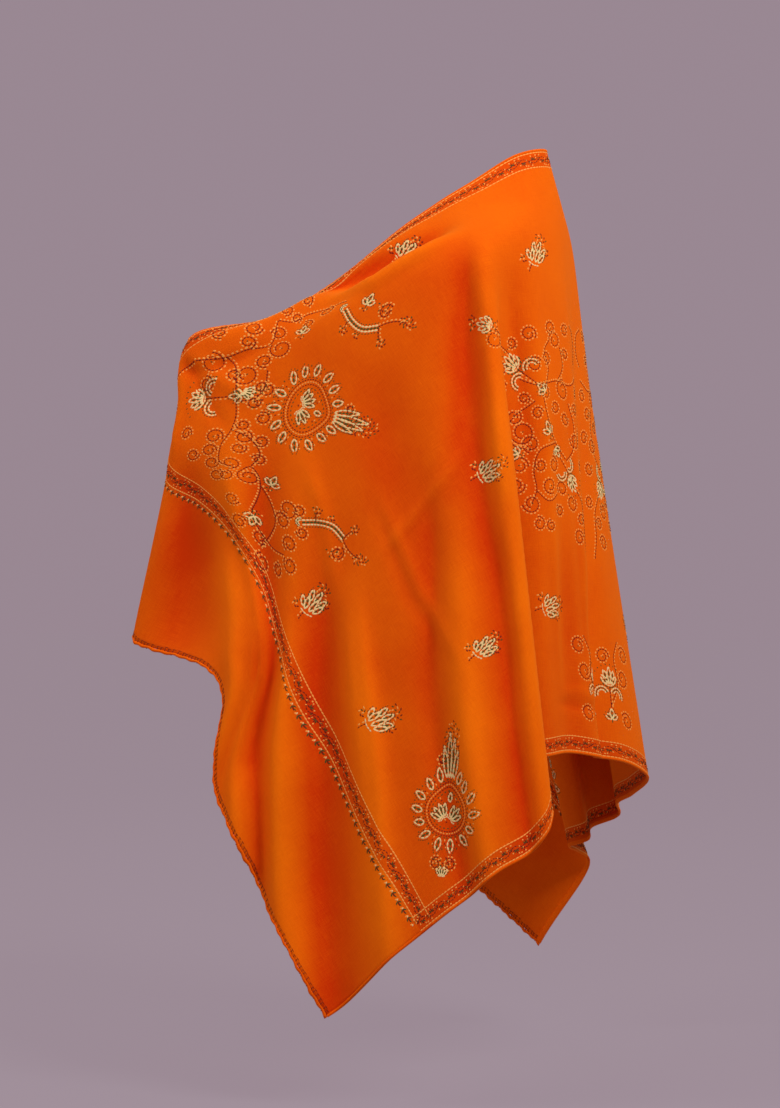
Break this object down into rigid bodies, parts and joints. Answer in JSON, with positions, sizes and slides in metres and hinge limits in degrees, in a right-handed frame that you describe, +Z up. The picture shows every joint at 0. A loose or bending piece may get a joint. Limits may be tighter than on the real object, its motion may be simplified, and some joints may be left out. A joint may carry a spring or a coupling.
{
  "type": "draped wool shawl",
  "caption": "Large rectangular orange wool shawl with floral embroidery, worn round the shoulders with one end held out on a raised hand.",
  "frame": {"origin": "middle of the shoulders, where the shawl is carried by its wearer, 1.40 m above the floor that the wearer stands on", "axes": "+X to the wearer's left, +Y to the wearer's back, +Z up"},
  "size_m": [0.7616, 0.7822, 1.3206],
  "materials": {
    "wool": "matt, fine wool",
    "hem_thread": "matt, overcast thread"
  },
  "bodies": {
    "root": {"back_stretch": "wool", "left_shoulder_stretch": "wool", "left_side_stretch": "wool", "held_end_stretch": "wool", "right_shoulder_stretch": "wool", "right_end_stretch": "wool", "held_end_hem_roll": "hem_thread", "right_end_hem_roll": "hem_thread"}
  },
  "joints": []
}
